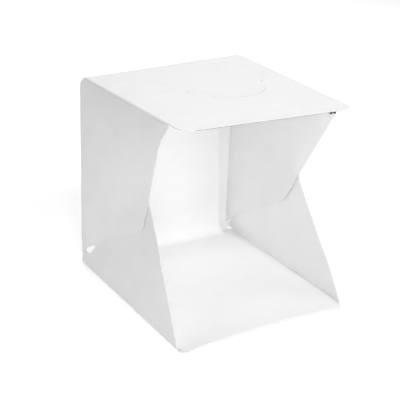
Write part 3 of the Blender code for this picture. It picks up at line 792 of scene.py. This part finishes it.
def make_top():
    sides = []
    for side in (-1, 1):
        x = top_side(side)

        def outer(s, x=x, side=side):
            return side * (x + HT - (0.05 * max(s - 188.0, 0.0) if side > 0 else 0.0))

        def inner(s, x=x, side=side):
            return side * (x - R_TOP_SIDE)

        front = float(top_front(side * x))
        radius = 17.0 if side < 0 else 11.0
        arc = corner((outer(150.0), 150.0), (outer(front), front), (0.0, float(top_front(0.0))), radius, 16)
        edge = edge_run(top_rear(side * 106.0)[0], inner, outer, 188.0, 7.0)
        half = len(arc) // 2
        sides.append((np.array(edge + [tuple(q) for q in arc[: half + 1]]), arc[half:]))
    (left, arc_l), (right, arc_r) = sides
    fronts = np.concatenate([arc_l, arc_r[::-1]])
    low = np.array([left[0], right[0]])
    g = coons(low, fronts, left, right, 72, 80)
    z = TOP_Z + top_rise(g[..., 0], g[..., 1])
    whole = slab("whole_top", np.concatenate([g, z[..., None]], -1))

    strip, clear = 1.2, 2.0     # the flap starts far enough from the chord to stand clear of the top
    chord = math.sqrt(PORT_R ** 2 - (PORT_S - PORT_C) ** 2)
    hole = prism("hole", port_outline(PORT_R + PORT_KERF, PORT_S - strip), HEIGHT - 12, HEIGHT + 12)
    reliefs = []
    for k in (-1, 1):
        wide = 1.7 if k < 0 else 1.2
        ring = [
            (PORT_X + k * (chord + 0.6) + wide * math.cos(a), PORT_S + wide * math.sin(a))
            for a in np.linspace(0, 2 * math.pi, 24, endpoint=False)
        ]
        reliefs.append(prism(f"relief_{k}", ring, HEIGHT - 13, HEIGHT + 13))
    panel = combined("top_sheet", whole, [("DIFFERENCE", hole), ("DIFFERENCE", reliefs[0]), ("DIFFERENCE", reliefs[1])])
    open_along(panel, (PORT_S - strip,))
    dress(panel, MAT_SHEET, "white_sheet", "top", ["top_panel"])

    keep = prism("keep", flap_outline(PORT_S + clear), HEIGHT - 12, HEIGHT + 12)
    flap = combined("port_flap_sheet", whole, [("INTERSECT", keep)])
    open_along(flap, (PORT_S + clear,))
    dress(flap, MAT_SHEET, "white_sheet", "port", ["camera_port_flap"])

    w = chord - 1.2
    band = prism(
        "band",
        [(PORT_X - w, PORT_S - strip), (PORT_X + w, PORT_S - strip), (PORT_X + w, PORT_S + clear), (PORT_X - w, PORT_S + clear)],
        HEIGHT - 12, HEIGHT + 12,
    )
    bend = combined("port_bend", whole, [("INTERSECT", band)])
    open_along(bend, (PORT_S - strip, PORT_S + clear))
    dress(bend, MAT_SHEET, "crease", None, ["camera_port_crease"])
    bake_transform(bend)
    drop(whole, hole, keep, band, *reliefs)


# ================================================================ backdrop
DROP_T = 0.5
DROP_R = 12.0
DROP_OFF = 3.6                # from the back panel's middle to the backdrop's
DROP_LEVEL = T + 0.35         # underside of the lying run


def make_backdrop():
    low = DROP_LEVEL + DROP_T / 2
    r = DROP_R
    foot = float(back_s(low + r)) + DROP_OFF
    path = [(float(back_s(z)) + DROP_OFF, z) for z in np.linspace(226.0, low + r, 50)]
    path += [
        (foot + r * (1 - math.cos(a)), low + r * (1 - math.sin(a))) for a in np.linspace(0, math.pi / 2, 22)[1:]
    ]
    path += [(s, low) for s in np.linspace(foot + r, 240.8, 90)[1:]]
    path = np.array(path)
    step = np.concatenate([[0], np.cumsum(np.linalg.norm(np.diff(path, axis=0), axis=1))])
    total = step[-1]
    upright = 226.0 - (low + r)

    def edge(at, side):
        if at < upright:
            return 79.5 + 8.0 * (at / upright) ** 1.2
        lying = at - upright
        if side < 0:
            return 87.5 + 8.0 * smooth01(lying / 60.0) + 12.0 * smooth01((lying - 60.0) / 110.0)
        return 87.5 + 10.5 * smooth01(lying / 45.0) + 8.4 * smooth01((lying - 40.0) / 70.0)

    rows = []
    for (s, z), at in zip(path, step):
        left, right = edge(at, -1), edge(at, 1)
        cut = max(0.0, 9.0 - (total - at))
        back_off = 9.0 - math.sqrt(max(81.0 - cut * cut, 0.0)) if cut else 0.0
        xs = np.linspace(-left + back_off, right - back_off, 60)
        rows.append([(x, s, z + float(floor_rise(x, s))) for x in xs])
    g = np.array(rows)
    ob = slab("backdrop", g, DROP_T)
    CUT.discard(ob.name)
    ob.data.polygons.foreach_set("material_index", [0] * len(ob.data.polygons))
    dress(ob, MAT_DROP, "backdrop", None, ["backdrop_sheet"])
    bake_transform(ob)

    for kind, mat in (("hook", MAT_HOOK), ("loop", MAT_LOOP)):
        for word in ("left", "right"):
            node = f"backdrop_{kind}_tab_{word}"
            ob = box_mesh(f"{kind}_tab_{word}", *node_mm(node), 0.3)
            warp(ob, lambda x, s, z: (x, s + float(back_s(z)) - HT, z))
            dress(ob, mat, f"{kind}_tape", "back", [node])


# ================================================================ magnets, lamp strip
def node_mm(node):
    """A node's box as ((x, s, z), (x, s, z)) in millimetres, low s first."""
    lo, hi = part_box(node)
    return (lo.x / MM, BACK_Y - hi.y / MM, lo.z / MM), (hi.x / MM, BACK_Y - lo.y / MM, hi.z / MM)


def warp(ob, place):
    """Moves every vertex by a rule written in (x, s, z) millimetres."""
    for v in ob.data.vertices:
        x, s, z = place(v.co.x / MM, BACK_Y - v.co.y / MM, v.co.z / MM)
        v.co = (x * MM, (BACK_Y - s) * MM, z * MM)


def make_discs():
    s, z = 128.5, 110.5
    for side, word in ((-1, "left"), (1, "right")):
        upper, lower = float(UPPER[side]["skin"](s, z)), float(LOWER[side]["skin"](s, z))
        inward = 1 if upper > lower else -1          # which way the lower flap lies from the upper one
        magnet = SIDE_X + upper - inward * (HT + 0.08)
        keeper = SIDE_X + lower + inward * (HT + 0.08)
        disc = [(3.2, 0.0), (4.8, 0.0), (5.0, 0.12), (5.0, 0.82), (4.8, 0.95), (3.2, 0.95)]
        ob = lathe(f"magnet_{word}", disc, (side * magnet, s, z), (-side * inward, 0, 0))
        dress(ob, MAT_NICKEL, "magnet", f"upper_{word}", [f"{word}_magnet_disc"])
        disc = [(3.2, 0.0), (4.85, 0.0), (5.0, 0.1), (5.0, 0.4), (4.85, 0.5), (3.2, 0.5)]
        ob = lathe(f"keeper_{word}", disc, (side * keeper, s, z), (side * inward, 0, 0))
        dress(ob, MAT_KEEPER, "keeper", f"lower_{word}", [f"{word}_keeper_disc"])


STRIP_TOP = HEIGHT - T - 0.04          # the tape's upper face, under the sheet
TAPE_THICK, BOARD_THICK = 0.15, 0.75
STRIP_SET_BACK = 1.5                   # from the lip to the board's front edge


def along_lip(lift=0.0, forward=0.0, flat=1.0):
    """The strip follows the lip's slant and the top's twist; flat makes a piece that hangs from it lower."""
    under = STRIP_TOP - TAPE_THICK - BOARD_THICK

    def place(x, s, z):
        hung = under - (under - z - lift) * flat
        return x, s + float(top_front(x)) - STRIP_SET_BACK - 215.6 + forward, hung + float(top_rise(x, s))
    return place


def node_copy(name, node, place):
    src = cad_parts[node]
    mesh = src.data.copy()
    mesh.transform(src.matrix_world)
    ob = bpy.data.objects.new(name, mesh)
    scene.collection.objects.link(ob)
    warp(ob, place)
    mesh.shade_smooth()
    mesh.set_sharp_from_angle(angle=math.radians(30))
    return ob


def make_strip():
    board_low = STRIP_TOP - TAPE_THICK - BOARD_THICK
    lo, hi = node_mm("strip_tape")
    ob = box_mesh("tape", (lo[0], lo[1], STRIP_TOP - TAPE_THICK), (hi[0], hi[1], STRIP_TOP), 0.05)
    warp(ob, along_lip())
    dress(ob, MAT_TAPE, "strip_tape", "top", ["strip_tape"])
    lo, hi = node_mm("lamp_strip_board")
    board_was = lo[2]
    ob = box_mesh("strip_board", (lo[0], lo[1], board_low), (hi[0], hi[1], STRIP_TOP - TAPE_THICK), 0.08)
    warp(ob, along_lip())
    dress(ob, MAT_BOARD, "board", "top", ["lamp_strip_board"])
    lift = board_low - board_was
    for i in range(20):
        node = f"led_{i + 1:02d}"
        lo, hi = node_mm(node)
        up = board_low - hi[2] - 0.02
        mid = ((lo[0] + hi[0]) / 2, (lo[1] + hi[1]) / 2)
        case = box_mesh(f"lamp_{i + 1:02d}", lo, hi, 0.15)
        warp(case, along_lip(up))
        dress(case, MAT_LAMP, "led", "top", [node])
        dome = lathe(
            f"lamp_lens_{i + 1:02d}", [(0.3, 0.16), (0.7, 0.14), (1.0, 0.08), (1.15, 0.0), (1.15, -0.1), (0.3, -0.1)],
            (mid[0], mid[1], lo[2]), (0, 0, -1), 20,
        )
        warp(dome, along_lip(up))
        dress(dome, MAT_PHOSPHOR, "led", "top")
    for i in range(5):
        node = f"strip_resistor_{i + 1}"
        lo, hi = node_mm(node)
        up = board_low - hi[2] - 0.02
        ob = box_mesh(f"resistor_{i + 1}", (lo[0] + 0.3, lo[1], lo[2]), (hi[0] - 0.3, hi[1], hi[2]), 0.08)
        warp(ob, along_lip(up))
        dress(ob, MAT_CHIP, "resistor", "top", [node])
        for k, (a, b) in enumerate(((lo[0], lo[0] + 0.34), (hi[0] - 0.34, hi[0]))):
            cap = box_mesh(f"resistor_{i + 1}_cap_{k + 1}", (a, lo[1] - 0.03, lo[2] - 0.03), (b, hi[1] + 0.03, hi[2]), 0.06)
            warp(cap, along_lip(up))
            dress(cap, MAT_SOLDER, "resistor", "top")
    for node, mat, slot, body, forward in (
        ("switch_body", MAT_SWITCH, "switch", "top", 0.6), ("switch_slider", MAT_SLIDER, "slider", "slider", 0.6),
        ("usb_socket_shell", MAT_TIN, "socket_shell", "top", -4.0), ("usb_socket_tongue", MAT_TONGUE, "socket_tongue", "top", -4.0),
    ):
        ob = node_copy(node + "_piece", node, along_lip(board_low - (board_was - 0.3) - 0.02, forward, 0.65 if "switch" in node else 1.0))
        dress(ob, mat, slot, body, [node])


# ================================================================ stage, light, camera
def make_stage():
    mesh = bpy.data.meshes.new("stage_floor")
    bm = bmesh.new()
    bmesh.ops.create_grid(bm, x_segments=40, y_segments=40, size=4.0)
    bm.to_mesh(mesh)
    bm.free()
    floor = bpy.data.objects.new("stage_floor", mesh)
    scene.collection.objects.link(floor)
    floor.location = (0, 0, -0.0004)
    mat, tree, shader, out = node_material("stage_white")
    coord = tree.nodes.new("ShaderNodeTexCoord").outputs["Object"]
    soft = noise_node(tree, coord, 3.0, 2.0)
    tree.links.new(ramp(tree, soft, [(0.3, (0.94, 0.94, 0.94)), (0.7, (0.96, 0.96, 0.96))]), shader.inputs["Base Color"])
    shader.inputs["Roughness"].default_value = 0.9
    shader.inputs["Specular IOR Level"].default_value = 0.1
    shader.inputs["Emission Color"].default_value = (1, 1, 1, 1)
    shader.inputs["Emission Strength"].default_value = 0.26
    mesh.materials.append(mat)


def area_light(name, at, towards, size, power, size_y=None):
    light = bpy.data.lights.new(name, "AREA")
    light.energy = power
    light.size = size
    if size_y:
        light.shape = "RECTANGLE"
        light.size_y = size_y
    ob = bpy.data.objects.new(name, light)
    scene.collection.objects.link(ob)
    ob.location = at
    ob.rotation_euler = (Vector(towards) - Vector(at)).to_track_quat("-Z", "Y").to_euler()
    return ob


def make_light():
    world = bpy.data.worlds.new("studio")
    scene.world = world
    world.use_nodes = True
    world.node_tree.nodes["Background"].inputs["Color"].default_value = (1, 1, 1, 1)
    world.node_tree.nodes["Background"].inputs["Strength"].default_value = 0.10
    aim = (0, 0, 0.1)
    for name, at, size, power in (
        ("front_low_left", (-0.9, -1.8, 0.45), 0.8, 9.5),
        ("front_low_right", (0.9, -1.8, 0.45), 0.8, 6.8),
        ("front_far_right", (1.5, -1.3, 0.5), 0.8, 4.3),
        ("front_mid_left", (-0.9, -1.6, 0.9), 0.9, 9.4),
        ("front_high", (0.0, -1.5, 1.25), 0.9, 2.9),
        ("front_high_right", (0.9, -1.4, 1.25), 0.9, 1.6),
        ("front_steep", (0.0, -1.15, 1.45), 0.4, 10.1),
        ("front_steep_left", (-0.6, -1.1, 1.4), 0.4, 2.0),
        ("right_high", (1.4, 0.0, 1.5), 1.0, 7.6),
        ("behind_high", (0.0, 1.5, 1.25), 0.9, 10.4),
        ("behind_high_right", (0.9, 1.4, 1.25), 0.9, 8.0),
    ):
        area_light(name, at, aim, size, power)
    scene.view_settings.view_transform = "Standard"
    scene.view_settings.look = "None"


def make_camera():
    yaw, pitch, roll = 0.57626, -0.41087, 0.051623
    forward = Vector((math.sin(yaw) * math.cos(pitch), math.cos(yaw) * math.cos(pitch), math.sin(pitch)))
    right0 = Vector((math.cos(yaw), -math.sin(yaw), 0.0))
    up0 = right0.cross(forward)
    right = math.cos(roll) * right0 + math.sin(roll) * up0
    up = -math.sin(roll) * right0 + math.cos(roll) * up0
    data = bpy.data.cameras.new("camera")
    data.sensor_width = 36.0
    data.lens = 36.0 * 1041.6 / 400.0
    data.clip_start, data.clip_end = 0.05, 20.0
    cam = bpy.data.objects.new("camera", data)
    scene.collection.objects.link(cam)
    m = Matrix((right, up, -forward)).transposed().to_4x4()
    m.translation = Vector((-610.98, -910.2, 585.28)) * MM
    cam.matrix_world = m
    scene.camera = cam


make_floor()
make_back()
make_top()
make_bends()
make_flaps()
make_backdrop()
make_discs()
make_strip()
make_stage()
make_light()
make_camera()
